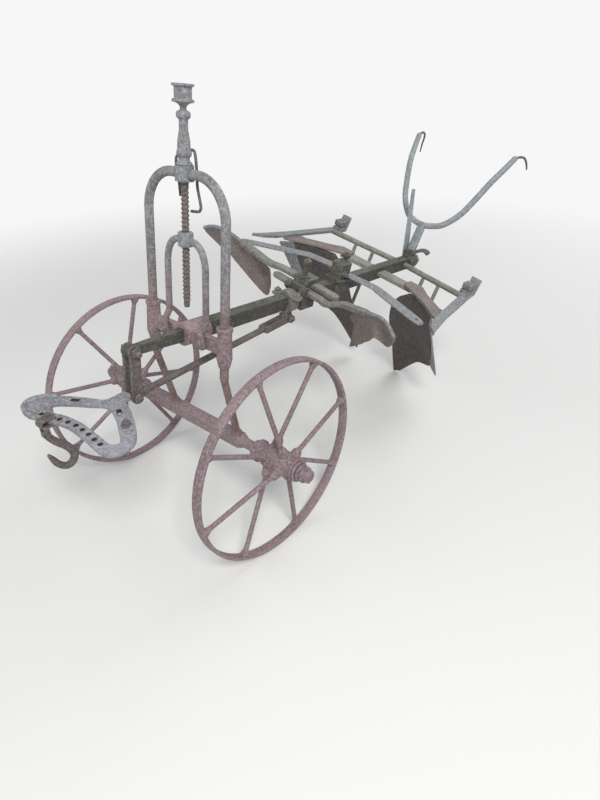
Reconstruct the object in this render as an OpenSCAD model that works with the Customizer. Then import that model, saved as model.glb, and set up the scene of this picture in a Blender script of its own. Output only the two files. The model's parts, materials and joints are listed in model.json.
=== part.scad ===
// Reversible moldboard plough on a two-wheeled forecarriage, parked half turned, in millimetres.
// X points forward, Y to the left, Z up. The origin is on the ground, under the middle of the whole plough.

/* [Wheels and axle] */
// Outer radius of both wheels
wheel_r = 330; // [300:360]
// Width of the flat iron tyre
tyre_w = 30; // [24:50]
// Thickness of the flat iron tyre
tyre_t = 12; // [8:16]
// Round spokes in each wheel
spoke_count = 8; // [6:12]
// Diameter of the spokes
spoke_d = 16; // [12:20]
// Distance between the wheels' middles
track = 764; // [740:800]
// Distance of the axle ahead of the plough's middle
axle_x = 573.8; // [540:600]
// Sideways place of the beam, nearer the left wheel
beam_y = 45; // [0:60]
// Length of the hub barrel
hub_len = 170; // [140:180]
// Outer diameter of the hub barrel
hub_d = 66; // [56:80]
// Diameter of the round axle ends
stub_d = 34; // [28:40]
// Side of the square axle bar
axle_s = 42; // [36:50]
// Radial running clearance of turning fits
run_gap = 0.05; // [0.02:0.01:0.09]
// Radial clearance of the sliding sleeves
slide_gap = 0.3; // [0.2:0.05:0.5]

/* [Arch and screw] */
// Rearward lean of the arch in degrees
arch_lean = 7.8; // [5:0.1:10]
// Diameter of the arch bar
arch_d = 27; // [24:36]
// Half the distance between the arch legs
arch_half = 165; // [150:180]
// Corner radius of the arch
arch_r = 112; // [90:130]
// Height of the arch's top above the saddle, along its lean
arch_top = 456; // [430:480]
// Diameter of the thinner lower legs
leg_d = 23; // [20:30]
// Diameter of the lift screw
screw_d = 22; // [18:28]

/* [Beam] */
// Downward slope of the beam towards the rear in degrees
beam_tilt = 5.6; // [4:0.1:7]
// Height of the beam's axis at the axle
beam_z = 667; // [640:700]
// Turn of the parked plough away from level in degrees
rest_roll = 12; // [8:18]
// Depth of the beam bar
beam_h = 52; // [44:60]
// Thickness of the beam bar
beam_t = 34; // [28:40]
// Rear end of the beam bar
beam_end = -1235; // [-1300:-1180]

/* [Bodies] */
// Depth of the shares from the beam's axis
share_depth = 388; // [360:420]
// Thickness of moldboards and shares
plate_t = 8; // [6:12]

/* [Hidden] */
$fn = 40;
left_y = track / 2 - beam_y;
right_y = -track / 2 - beam_y;
square_left = left_y - hub_len / 2 - 72;
square_right = right_y + hub_len / 2 + 17;
arch_x = 24;
front_journal_d = 36;
collar_x = -432;
collar_journal_d = 46;
collar_drop = 64;
rear_journal_d = 36;
link_x = 243;
link_z = 550;
reg_z = 560;
frog_s = 8;
frog_t = 10;

// Helpers

function mix(a, b, t) = a + (b - a) * t;

module rod(a, b, d, d2 = 0) {
    v = b - a;
    len = norm(v);
    e = d2 == 0 ? d : d2;
    translate(a) rotate([0, acos(v[2] / len), atan2(v[1], v[0])]) cylinder(h = len, d1 = d, d2 = e);
}

module bar(a, b, w, t, turn = 0) {
    v = b - a;
    len = norm(v);
    translate(a) rotate([0, acos(v[2] / len), atan2(v[1], v[0])]) rotate([0, 0, turn])
        translate([-w / 2, -t / 2, 0]) cube([w, t, len]);
}

function unit(v) = v / norm(v);

// The points of a bent line with each inner corner rounded from a share k of its legs
function eased(pts, k = 0.3, n = 4) = concat([pts[0]],
    [for (i = [1:len(pts) - 2]) let (a = mix(pts[i], pts[i - 1], k), c = mix(pts[i], pts[i + 1], k))
        for (j = [0:n]) let (t = j / n) mix(mix(a, pts[i], t), mix(pts[i], c, t), t)],
    [pts[len(pts) - 1]]);

// A round bar swept along a bent line, with ref off every direction of it, and its last ring of size tip
module bent_bar(pts, d, ref, sides = 12, tip = 0) {
    last = len(pts) - 1;
    rings = [for (i = [0:last])
        let (t = unit(pts[min(i + 1, last)] - pts[max(i - 1, 0)]), a = unit(cross(t, ref)), b = cross(t, a))
        for (j = [0:sides - 1]) pts[i] + (i == last && tip > 0 ? tip : d) / 2
            * (a * cos(360 * j / sides) + b * sin(360 * j / sides))];
    walls = [for (i = [0:last - 1]) for (j = [0:sides - 1]) let (k = (j + 1) % sides)
        each [[i * sides + j, (i + 1) * sides + k, i * sides + k],
            [i * sides + j, (i + 1) * sides + j, (i + 1) * sides + k]]];
    caps = [[for (j = [0:sides - 1]) j], [for (j = [sides - 1:-1:0]) last * sides + j]];
    polyhedron(points = rings, faces = concat(walls, caps), convexity = 6);
}

module y_cyl(y0, y1, d) {
    translate([0, y0, 0]) rotate([-90, 0, 0]) cylinder(h = y1 - y0, d = d);
}

module x_cyl(x0, x1, d) {
    translate([x0, 0, 0]) rotate([0, 90, 0]) cylinder(h = x1 - x0, d = d);
}

module base() {
    translate([axle_x, beam_y, 0]) children();
}

module arch_frame() {
    base() translate([arch_x, 0, beam_z]) rotate([0, -arch_lean, 0]) children();
}

module pitch_frame() {
    base() translate([0, 0, beam_z]) rotate([0, -beam_tilt, 0]) children();
}

module beam_frame() {
    pitch_frame() rotate([-rest_roll, 0, 0]) children();
}

module side_of(side) {
    beam_frame() mirror([0, side < 0 ? 1 : 0, 0]) children();
}

// A plate through a table of sections, each an inner point, an outer point and a hollow
module skin(sections, back, nv = 6) {
    nu = len(sections) - 1;
    front = [for (s = sections) for (j = [0:nv]) mix(s[0], s[1], j / nv) + s[2] * sin(180 * j / nv)];
    n = len(front);
    w = nv + 1;
    pts = concat(front, [for (p = front) p + back]);
    f1 = [for (i = [0:nu - 1]) for (j = [0:nv - 1]) [i * w + j, i * w + j + 1, (i + 1) * w + j + 1]];
    f2 = [for (i = [0:nu - 1]) for (j = [0:nv - 1]) [i * w + j, (i + 1) * w + j + 1, (i + 1) * w + j]];
    b1 = [for (f = f1) [f[0] + n, f[2] + n, f[1] + n]];
    b2 = [for (f = f2) [f[0] + n, f[2] + n, f[1] + n]];
    e1 = [for (j = [0:nv - 1]) [j, j + n, j + 1 + n, j + 1]];
    e2 = [for (j = [0:nv - 1]) [nu * w + j, nu * w + j + 1, nu * w + j + 1 + n, nu * w + j + n]];
    e3 = [for (i = [0:nu - 1]) [i * w, (i + 1) * w, (i + 1) * w + n, i * w + n]];
    e4 = [for (i = [0:nu - 1]) [i * w + nv, i * w + nv + n, (i + 1) * w + nv + n, (i + 1) * w + nv]];
    polyhedron(points = pts, faces = concat(f1, f2, b1, b2, e1, e2, e3, e4), convexity = 6);
}

// Forecarriage

module axle() {
    color([0.42, 0.28, 0.25]) base() translate([0, 0, wheel_r]) {
        translate([-axle_s / 2, square_right, -axle_s / 2])
            cube([axle_s, square_left - square_right, axle_s]);
        y_cyl(right_y - 128, square_right, stub_d);
        y_cyl(square_left, left_y + 128, stub_d);
        y_cyl(right_y + hub_len / 2 + 1, right_y + hub_len / 2 + 13, 58);
        y_cyl(left_y - hub_len / 2 - 13, left_y - hub_len / 2 - 1, 58);
        y_cyl(right_y - hub_len / 2 - 11, right_y - hub_len / 2 - 1, 54);
        y_cyl(left_y + hub_len / 2 + 1, left_y + hub_len / 2 + 11, 54);
    }
}

module arch() {
    leg_top = [arch_x + 98 * sin(arch_lean), 0, beam_z - 98 * cos(arch_lean)];
    color([0.46, 0.42, 0.38]) {
        base() for (s = [-1, 1]) {
            foot = [0, s * 155, wheel_r + axle_s / 2];
            knee = leg_top + [0, s * arch_half, 0];
            rod(foot, foot + [0, 0, 16], 40, 24);
            rod(foot + [0, 0, 8], knee, leg_d);
            translate(knee) sphere(d = leg_d + 2, $fn = 24);
        }
        arch_frame() {
            for (s = [-1, 1]) {
                translate([0, s * arch_half, -97]) cylinder(h = arch_top - arch_r + 97, d = arch_d);
                translate([0, s * (arch_half - arch_r), arch_top - arch_r]) rotate([90, 0, s * 90])
                    arch_corner();
            }
            difference() {
                union() {
                    translate([0, 0, arch_top]) y_cyl(arch_r - arch_half, arch_half - arch_r, arch_d);
                    translate([0, 0, arch_top - 20]) cylinder(h = 40, d = 52);
                }
                translate([0, 0, arch_top - 30]) cylinder(h = 60, d = 26 + 2 * run_gap);
            }
        }
    }
}

module arch_corner() {
    rotate_extrude(angle = 90, $fn = 64) translate([arch_r, 0]) circle(d = arch_d, $fn = 32);
}

// Wheels

module tyre(y) {
    color([0.44, 0.3, 0.27]) base() translate([0, y, wheel_r]) difference() {
        rotate([90, 0, 0]) cylinder(h = tyre_w, r = wheel_r, center = true, $fn = 96);
        rotate([90, 0, 0]) cylinder(h = tyre_w + 2, r = wheel_r - tyre_t, center = true, $fn = 96);
    }
}

// Steps of the hub barrel, each a distance from its end and what it stands proud
hub_rows = [[0, 0], [4, 2], [14, 2], [17, -3], [34, -3], [44, 5], [hub_len - 44, 5], [hub_len - 34, -3],
    [hub_len - 17, -3], [hub_len - 14, 2], [hub_len - 4, 2], [hub_len, 0]];

// Turn of the spokes of the left and of the right wheel, as they stand
spoke_turns = [12, 30];
// Diameters of the cast sockets at the spokes' roots, and their length as a share of the spoke
socket_d = [35, 30];
socket_share = 0.115;

module hub(y) {
    color([0.4, 0.27, 0.25]) base() translate([0, y, wheel_r]) difference() {
        union() {
            rotate([90, 0, 0]) rotate_extrude() polygon(concat([[8, -hub_len / 2], [8, hub_len / 2]],
                [for (r = hub_rows) [hub_d / 2 + r[1], hub_len / 2 - r[0]]]));
            turn = spoke_turns[y > 0 ? 0 : 1];
            intersection() {
                for (i = [0:spoke_count - 1]) rotate([0, i * 360 / spoke_count + turn, 0]) {
                    root = [0, (i % 2 == 0 ? 1 : -1) * 30, 20];
                    rim = [0, 0, wheel_r - tyre_t + 4];
                    rod(root, rim, spoke_d);
                    rod(root, mix(root, rim, socket_share), socket_d[0], socket_d[1]);
                }
                rotate([90, 0, 0]) cylinder(h = hub_len, r = wheel_r - tyre_t, center = true, $fn = 96);
            }
        }
        y_cyl(-hub_len, hub_len, stub_d + 2 * run_gap);
    }
}

// Lift screw

module lift_screw() {
    color([0.4, 0.3, 0.27]) arch_frame() {
        translate([0, 0, 84]) cylinder(h = arch_top - 84 - 24, d = screw_d);
    }
}

module screw_head() {
    color([0.36, 0.36, 0.34]) arch_frame() translate([0, 0, arch_top]) difference() {
        union() {
            translate([0, 0, -24]) cylinder(h = 46, d = 26);
            translate([0, 0, 20.5]) cylinder(h = 16, d1 = 46, d2 = 34);
            translate([0, 0, 36]) cylinder(h = 20, d = 40);
            translate([0, 0, 56]) cylinder(h = 80, d1 = 36, d2 = 30);
            translate([0, 0, 136]) cylinder(h = 12, d = 44);
            translate([0, 0, 148]) cylinder(h = 26, d = 26);
            translate([0, 0, 172]) cylinder(h = 5, d = 62);
            translate([0, 0, 177]) cylinder(h = 30, d = 50);
            translate([0, 0, 207]) cylinder(h = 5, d = 62);
        }
        translate([0, 0, 182]) cylinder(h = 40, r = 12);
    }
}

// Saddle

module saddle() {
    color([0.45, 0.31, 0.29]) {
        difference() {
            union() {
                arch_frame() {
                    for (s = [-1, 1]) translate([0, s * arch_half, 0]) {
                        translate([0, 0, -30]) cylinder(h = 94, d1 = 47, d2 = 41);
                        translate([0, 0, -58]) cylinder(h = 28.01, d1 = 33, d2 = 47);
                        translate([0, 0, 54]) cylinder(h = 10, d = 48);
                    }
                    translate([-10, -arch_half, -20]) cube([20, 2 * arch_half, 40]);
                }
                pitch_frame() x_cyl(-44, 46, 72);
            }
            arch_frame() for (s = [-1, 1]) translate([0, s * arch_half, -120])
                cylinder(h = 220, d = arch_d + 2 * slide_gap);
            pitch_frame() x_cyl(-60, 24, front_journal_d + 2 * run_gap);
        }
    }
}

module forward_arm() {
    color([0.5, 0.5, 0.42]) pitch_frame() difference() {
        union() {
            hull() {
                translate([46, -12, -20]) cube([2, 24, 40]);
                translate([210, -12, -13]) cube([2, 24, 26]);
            }
            translate([226, 0, 0]) y_cyl(-12, 12, 42);
        }
        translate([226, 0, 0]) y_cyl(-30, 30, 16);
    }
}

bow_half = 84;

module lift_bow() {
    color([0.45, 0.36, 0.33]) arch_frame() {
        difference() {
            translate([0, 0, 262]) cylinder(h = 40, d = 44);
            translate([0, 0, 250]) cylinder(h = 60, d = screw_d + 2 * run_gap);
        }
        for (s = [-1, 1]) {
            bent_bar(eased([[0, s * 16, 278], [0, s * 64, 268], [0, s * bow_half, 208],
                [0, s * bow_half, 64], [20, s * bow_half, 36], [20, s * bow_half, -8]]), 20, [1, 0, 0.2]);
            translate([0, s * bow_half, -4]) {
                x_cyl(10, 28, 34);
                x_cyl(20, 36, 18);
            }
        }
    }
}

function arm_eye() = [226 * cos(beam_tilt), 0, beam_z + 226 * sin(beam_tilt)];

module front_links() {
    e = arm_eye();
    color([0.42, 0.32, 0.29]) base() for (s = [-1, 1]) difference() {
        union() {
            translate([e[0], 0, e[2]]) y_cyl(s > 0 ? 12 : -20, s > 0 ? 20 : -12, 40);
            translate([link_x, 0, link_z]) y_cyl(s > 0 ? 12 : -20, s > 0 ? 20 : -12, 38);
            bar([e[0], s * 16, e[2]], [link_x, s * 16, link_z], 34, 8);
        }
        translate([e[0], 0, e[2]]) y_cyl(-40, 40, 16);
        translate([link_x, 0, link_z]) y_cyl(-40, 40, 16);
    }
}

module link_bolts() {
    e = arm_eye();
    pins = [[e, 20], [[link_x, 0, link_z], 20], [collar_pin(), yoke_out]];
    color([0.36, 0.29, 0.27]) base() for (p = pins) translate(p[0]) {
        y_cyl(-p[1] - 14, p[1] + 14, 16);
        y_cyl(p[1], p[1] + 10, 30);
        y_cyl(-p[1] - 10, -p[1], 30);
    }
}

// The regulator's outline, the edge of its window and the row of holes along its front bar
reg_outline = [[262, -17], [298, -19], [324, -26], [342, -59], [369, -109], [401, -153], [438, -187],
    [466, -192], [489, -176], [500, -145], [499, -101], [490, -62], [477, -19], [463, 23], [460, 75],
    [465, 129], [469, 176], [461, 203], [445, 217], [415, 220], [380, 203], [341, 148], [307, 79], [290, 28],
    [262, 17]];
reg_window = [[340, 10], [369, -33], [399, -78], [428, -112], [448, -120], [457, -106], [445, -72],
    [433, -48], [426, -10], [425, 30], [427, 68], [432, 126], [435, 165], [426, 182], [412, 181], [393, 149],
    [352, 67]];
reg_holes = [[475, -96], [465, -65], [456, -34], [449, -3], [444, 28], [444, 59], [445, 90], [448, 121],
    [450, 152]];
// Its slots, each a place and a turn
reg_slots = [[333, 62, 62], [360, 131, 62], [377, -88, -58]];
reg_hole_d = 12;
reg_t = 12;

module regulator() {
    color([0.5, 0.52, 0.48]) base() difference() {
        union() {
            translate([0, 0, reg_z - reg_t / 2]) linear_extrude(height = reg_t) difference() {
                polygon(reg_outline);
                polygon(reg_window);
            }
            translate([link_x, 0, link_z]) y_cyl(-5, 5, 34);
            translate([link_x, -5, reg_z - 14]) cube([40, 10, 20]);
        }
        translate([link_x, 0, link_z]) y_cyl(-40, 40, 16);
        for (h = reg_holes) translate([h[0], h[1], reg_z - 20]) cylinder(h = 40, d = reg_hole_d, $fn = 24);
        for (h = reg_slots) translate([h[0], h[1], reg_z]) rotate(h[2]) cube([26, 12, 40], center = true);
    }
}

// The draft strap round the regulator's front bar
strap_at = [486, -80];
strap_w = 36;
strap_t = 8;
hook_pin_d = 10;
hook_drop = 36;
hook_line = [[0, 0, -8], [-20, 0, -40], [-44, 0, -76], [-56, 0, -112], [-44, 0, -138], [-18, 0, -134],
    [4, 0, -100], [16, 0, -60]];

module hook_strap() {
    color([0.4, 0.31, 0.28]) base() translate([strap_at[0], strap_at[1], reg_z]) difference() {
        union() {
            for (z = [reg_t / 2, -reg_t / 2 - strap_t]) translate([-22, -strap_w / 2, z])
                cube([42, strap_w, strap_t]);
            translate([13, -strap_w / 2, -reg_t / 2 - strap_t]) cube([10, strap_w, reg_t + 2 * strap_t]);
            for (y = [-strap_w / 2, strap_w / 2 - 6]) translate([0, y, -46]) cube([12, 6, 34]);
            translate([-10, 0, 12]) cylinder(h = 16, d = 18);
        }
        translate([6, 0, -hook_drop]) y_cyl(-20, 20, hook_pin_d);
    }
}

module draft_hook() {
    color([0.4, 0.3, 0.27]) base() translate([strap_at[0] + 6, strap_at[1], reg_z - hook_drop]) {
        y_cyl(-16, 16, hook_pin_d - 2 * run_gap);
        y_cyl(-6, 6, 22);
        bent_bar(eased(hook_line), 20, [0, 1, 0], 12, 7);
    }
}

function collar_pin() = [collar_x * cos(beam_tilt) + collar_drop * sin(beam_tilt), 0,
    beam_z + collar_x * sin(beam_tilt) - collar_drop * cos(beam_tilt)];

// The draw rod's yoke: where its cheeks start and end beside the collar's lug, and its length
yoke_in = 10;
yoke_out = 18;
yoke_len = 118;

module draw_rod() {
    front = [link_x, 0, link_z];
    rear = collar_pin();
    root = rear + yoke_len * unit(front - rear);
    color([0.43, 0.31, 0.28]) base() difference() {
        union() {
            rod(front + [-30, 0, 0], root, 22);
            translate(front) y_cyl(-11.5, 11.5, 32);
            translate(front + [-42, -11.5, -11]) cube([42, 23, 22]);
            translate(root) y_cyl(0.5 - yoke_out, yoke_out - 0.5, 26);
            for (s = [-1, 1]) {
                cheek = [0, s * (yoke_in + yoke_out) / 2, 0];
                bar(root + cheek, rear + cheek, 24, yoke_out - yoke_in);
                translate(rear) y_cyl(s > 0 ? yoke_in : -yoke_out, s > 0 ? yoke_out : -yoke_in, 32);
            }
        }
        translate(front) {
            y_cyl(-20, 20, 16);
            translate([-24, -5.5, -24]) cube([48, 11, 48]);
        }
        translate(rear) y_cyl(-40, 40, 16);
    }
}

module swivel_collar() {
    color([0.43, 0.36, 0.33]) pitch_frame() difference() {
        union() {
            x_cyl(collar_x - 18, collar_x + 18, 82);
            translate([collar_x - 16, 0.5 - yoke_in, -collar_drop]) cube([32, 2 * yoke_in - 1, 40]);
            translate([collar_x, 0, -collar_drop]) y_cyl(0.5 - yoke_in, yoke_in - 0.5, 32);
        }
        x_cyl(collar_x - 40, collar_x + 40, collar_journal_d + 2 * run_gap);
        translate([collar_x, 0, -collar_drop]) y_cyl(-20, 20, 16);
    }
}

// Beam group

module beam() {
    color([0.42, 0.38, 0.34]) beam_frame() {
        x_cyl(-46, 22, front_journal_d);
        translate([collar_x + 20, -beam_t / 2, -beam_h / 2]) cube([-46 - collar_x - 20, beam_t, beam_h]);
        x_cyl(collar_x - 20, collar_x + 20, collar_journal_d);
        translate([beam_end, -beam_t / 2, -beam_h / 2]) cube([collar_x - 20 - beam_end, beam_t, beam_h]);
        x_cyl(beam_end - 56, beam_end, rear_journal_d);
    }
}

module tail_nut() {
    color([0.45, 0.48, 0.38]) beam_frame() x_cyl(beam_end - 84, beam_end - 56, 54);
}

// Skim arms: side, place along the beam and height of the flat bar, and reach of its tail past the clamp
skim_rows = [[1, -494, 1, 130], [-1, -530, 2, 142]];
skim_w = 32;
skim_t = 17;

module skim_clamp() {
    color([0.48, 0.5, 0.42]) beam_frame() difference() {
        union() {
            translate([-554, -30, -beam_h / 2 - 14]) cube([72, 60, beam_h + 56]);
            translate([-550, -34, beam_h / 2 + 38]) cube([64, 68, 14]);
            translate([-482, -46, beam_h / 2]) cube([16, 92, 30]);
            for (d = [-34, 34]) translate([0, d, beam_h / 2 + 16]) {
                x_cyl(-500, -460, 14);
                x_cyl(-466, -455, 26);
            }
            translate([-503, 0, beam_h / 2 + 50]) {
                cylinder(h = 9, d = 42);
                cylinder(h = 60, d = 18);
                translate([0, 0, 50]) cylinder(h = 15, d = 27);
            }
        }
        translate([-600, -beam_t / 2, -beam_h / 2]) cube([160, beam_t, beam_h]);
        for (r = skim_rows) skim_arm(r, 60);
    }
}

module skim_arm(r, reach) {
    translate([r[1] - skim_w / 2, -reach, beam_h / 2 + (r[2] - 1) * skim_t])
        cube([skim_w, 2 * reach, skim_t]);
}

module skim(r) {
    z = beam_h / 2 + (r[2] - 0.5) * skim_t;
    color([0.4, 0.31, 0.27]) side_of(r[0]) {
        translate([r[1] - skim_w / 2, -r[3], z - skim_t / 2]) cube([skim_w, 138 + r[3], skim_t]);
        bar([r[1], 132, z], [-510, 184, 54], skim_t, skim_w, 0);
        bar([-512, 176, 53], [-474, 300, 88], skim_t, skim_w, 20);
        skin(skim_plate, skim_back, 3);
    }
}

// Skim plates: upper edge, lower edge and hollow of each section, from the point to the tail
skim_plate = [[[-410, 450, 98], [-426, 448, 76], [0, 0, 0]],
    [[-424, 414, 114], [-500, 402, 4], [-4, 0, 3]],
    [[-442, 374, 116], [-478, 376, 20], [-6, 0, 4]],
    [[-456, 326, 106], [-470, 352, 22], [-6, 0, 4]],
    [[-472, 290, 90], [-500, 318, -21], [-6, 0, 4]],
    [[-486, 258, 68], [-568, 220, -115], [-4, 0, 2]],
    [[-540, 200, 8], [-622, 242, -104], [-6, 0, 0]]];
skim_back = [-7, 2, 4];

// Coulters: side, place at the clamp, bend and tip
coulter_rows = [[1, [-738, 0, 48], [-772, 140, 40], [-664, 414, 54]],
    [-1, [-716, 0, 70], [-700, 140, 66], [-582, 408, 36]]];
coulter_t = 13;
coulter_start = 4;

module coulter_clamp() {
    color([0.44, 0.3, 0.28]) beam_frame() difference() {
        union() {
            coulter_block();
            translate([-752, -26, beam_h / 2 + 8]) cube([56, 52, 62]);
            translate([-740, 0, beam_h / 2 + 66]) {
                cylinder(h = 8, d = 34);
                cylinder(h = 26, d = 16);
                translate([0, 0, 20]) cylinder(h = 13, d = 28);
            }
            translate([-706, 0, beam_h / 2 + 34]) y_cyl(-48, 48, 16);
        }
        translate([-800, -beam_t / 2, -beam_h / 2]) cube([160, beam_t, beam_h]);
        for (r = coulter_rows) mirror([0, r[0] < 0 ? 1 : 0, 0]) bar(r[1], r[2], 34, coulter_t, 90);
    }
}

module coulter_block() {
    translate([-766, -38, beam_h / 2]) cube([84, 76, 10]);
    translate([-760, -27, -beam_h / 2 - 12]) cube([72, 54, beam_h + 12]);
}

module coulter(r) {
    color([0.5, 0.5, 0.48]) side_of(r[0]) {
        difference() {
            bar(r[1], r[2], 34, coulter_t, 90);
            translate([-800, -40, -60]) cube([160, 40 + coulter_start, 200]);
        }
        difference() {
            bar(r[2] + [0, -8, 0], r[3], 42, coulter_t - 1, 90);
            bar(mix(r[2], r[3], 0.86), mix(r[2], r[3], 0.95), 12, 40, 90);
        }
    }
}

module front_standard() {
    color([0.48, 0.46, 0.42]) beam_frame() difference() {
        translate([-1036, -186, -8]) cube([52, 372, 16]);
        translate([-1100, -beam_t / 2, -beam_h / 2]) cube([200, beam_t, beam_h]);
    }
}

module rear_standard() {
    color([0.46, 0.45, 0.42]) for (s = [-1, 1]) side_of(s) difference() {
        union() {
            rod([-1204, 0, 0], [-1120, share_depth - 22, 24], 24);
            rod([-1172, 140, 9], [-1100, 140, -330], 16);
            rod([-1152, 226, 15], [-1080, 226, -330], 16);
        }
        translate([-1260, -beam_t / 2, -beam_h / 2]) cube([120, beam_t, beam_h]);
        landside_bar();
        board_front();
    }
}

module frog(side) {
    color([0.42, 0.3, 0.29]) side_of(side) {
        translate([0, 0, frog_s]) linear_extrude(height = frog_t)
            polygon([[-1036, 150], [-984, 150], [-958, 204], [-908, 294], [-852, share_depth - 24],
                [-832, share_depth + 8], [-860, share_depth + 20], [-925, share_depth + 8],
                [-930, share_depth - 34], [-990, 262], [-1036, 212]]);
    }
}

module landside(side) {
    color([0.5, 0.46, 0.48]) side_of(side) landside_bar();
}

// Edge of the landside, deeper toward the share's point
landside_line = [[-1200, share_depth - 58], [-1098, share_depth - 41], [-917, share_depth - 11],
    [-790, share_depth + 12], [-736, share_depth + 36], [-700, share_depth + 72], [-744, share_depth + 58],
    [-867, share_depth + 31], [-1132, share_depth - 10], [-1200, share_depth - 18]];

// Landside with its heel strap, and its nut on a block
module landside_bar() {
    translate([0, 0, frog_s + frog_t]) {
        linear_extrude(height = 12) polygon(landside_line);
        translate([-1166, share_depth - 42, 0]) {
            translate([-22, -22, 4]) cube([44, 44, 20]);
            cylinder(h = 44, d = 20);
            translate([-20, -20, 30]) cube([40, 40, 22]);
        }
        translate([-1198, share_depth - 60, 2]) rotate([0, -20, 0]) cube([12, 44, 66]);
    }
}

module share(side) {
    color([0.52, 0.44, 0.44]) side_of(side) difference() {
        skin([[[-864, share_depth - 28, frog_s - 6], [-800, share_depth, frog_s - 6], [0, 0, 0]],
            [[-1098, share_depth - 42, -322], [-1085, share_depth, -342], [0, 0, 0]]], [-5, 0, 6], 4);
        skin(board, board_back);
    }
}

// Moldboard: inner edge, outer edge and hollow of each section, from the shin to the tail
board_top = frog_s - plate_t * 0.7;
board = [[[-962, 200, board_top], [-866, share_depth - 30, board_top], [-10, 0, 0]],
    [[-968, 152, -42], [-890, share_depth - 31, -42], [-26, 0, 4]],
    [[-988, 124, -100], [-930, share_depth - 33, -100], [-34, 0, 10]],
    [[-1040, 112, -195], [-1000, share_depth - 36, -196], [-30, 0, 20]],
    [[-1128, 110, -310], [-1098, share_depth - 46, -318], [-24, 0, 26]],
    [[-1192, 112, -424], [-1166, share_depth - 138, -378], [-14, 0, 16]],
    [[-1250, 120, -533], [-1246, 152, -514], [-2, 0, 2]]];
board_back = plate_t * [-0.7, 0, 0.7];

module moldboard(side) {
    color([0.2, 0.17, 0.17]) side_of(side) skin(board, board_back);
}

// The space in front of a moldboard's back face, which cuts its stays to length
module board_front() {
    skin([for (r = board) [r[0] - 12 * board_back, r[1] - 12 * board_back, r[2]]], 13 * board_back);
}

// Handles

module handle_swivel() {
    color([0.4, 0.4, 0.36]) pitch_frame() difference() {
        swivel_block();
        x_cyl(beam_end - 80, beam_end + 20, rear_journal_d + 2 * run_gap);
    }
}

module swivel_block() {
    x_cyl(beam_end - 54, beam_end - 2, 64);
    translate([beam_end - 54, -16, 0]) cube([52, 32, 54]);
}

// The handles as they stand, turned a little about their stem
fork_turn = -6.9;
fork_root = [-82, 9, 694];
handle_d = 26;
handle_line = [[0, 0, 0], [-18, 92, 20], [-52, 143, 66], [-148, 204, 208], [-259, 241, 304]];
// Bare tang at the end of each handle
tang_rows = [[1, [[-250, 238, 296], [-284, 252, 304], [-312, 270, 276], [-318, 282, 236]]],
    [-1, [[-250, 238, 296], [-290, 246, 310], [-316, 250, 286], [-310, 250, 208]]]];

module handle_fork() {
    color([0.48, 0.5, 0.45]) base() translate([-1256, 0, 0]) {
        difference() {
            bar([0, 0, 570], fork_root + [0, 0, 4], 38, 18, 90);
            translate([1256, 0, beam_z]) rotate([0, -beam_tilt, 0]) swivel_block();
        }
        translate(fork_root) rotate([fork_turn, 0, 0]) for (r = tang_rows) mirror([0, r[0] < 0 ? 1 : 0, 0]) {
            bent_bar(eased(handle_line), handle_d, [1, 0, -1]);
            bent_bar(eased(r[1]), 9, [0, 1, 0], 8, 6);
        }
    }
}

module release_lever() {
    color([0.42, 0.4, 0.38]) difference() {
        base() hull() {
            translate([-1262, -24, 556]) rotate([0, -5.4, 0]) cube([40, 8, 2], center = true);
            translate([-1290, -24, 850]) rotate([0, -5.4, 0]) cube([17, 8, 2], center = true);
        }
        pitch_frame() swivel_block();
    }
}

axle();
arch();
tyre(left_y);  // tyre_left
hub(left_y);  // hub_left
tyre(right_y);  // tyre_right
hub(right_y);  // hub_right
lift_screw();
screw_head();
saddle();
forward_arm();
lift_bow();
front_links();
link_bolts();
regulator();
hook_strap();
draw_rod();
swivel_collar();
draft_hook();
beam();
skim_clamp();
skim(skim_rows[0]);  // skim_left
skim(skim_rows[1]);  // skim_right
coulter_clamp();
coulter(coulter_rows[0]);  // coulter_left
coulter(coulter_rows[1]);  // coulter_right
front_standard();
rear_standard();
frog(1);  // frog_left
frog(-1);  // frog_right
landside(1);  // landside_left
landside(-1);  // landside_right
share(1);  // share_left
share(-1);  // share_right
moldboard(1);  // moldboard_left
moldboard(-1);  // moldboard_right
handle_swivel();
handle_fork();
release_lever();
tail_nut();
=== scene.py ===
# Reversible plough on its two-wheeled forecarriage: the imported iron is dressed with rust, lichen,
# threads, nuts and worn plates. X points forward, Y to the left and Z up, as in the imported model.
# Names in capitals with sizes under 1 are in metres; rows of points and the shop's sizes are in millimetres.

import json
import math

import bmesh
import bpy
from mathutils import Matrix, Vector

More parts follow.
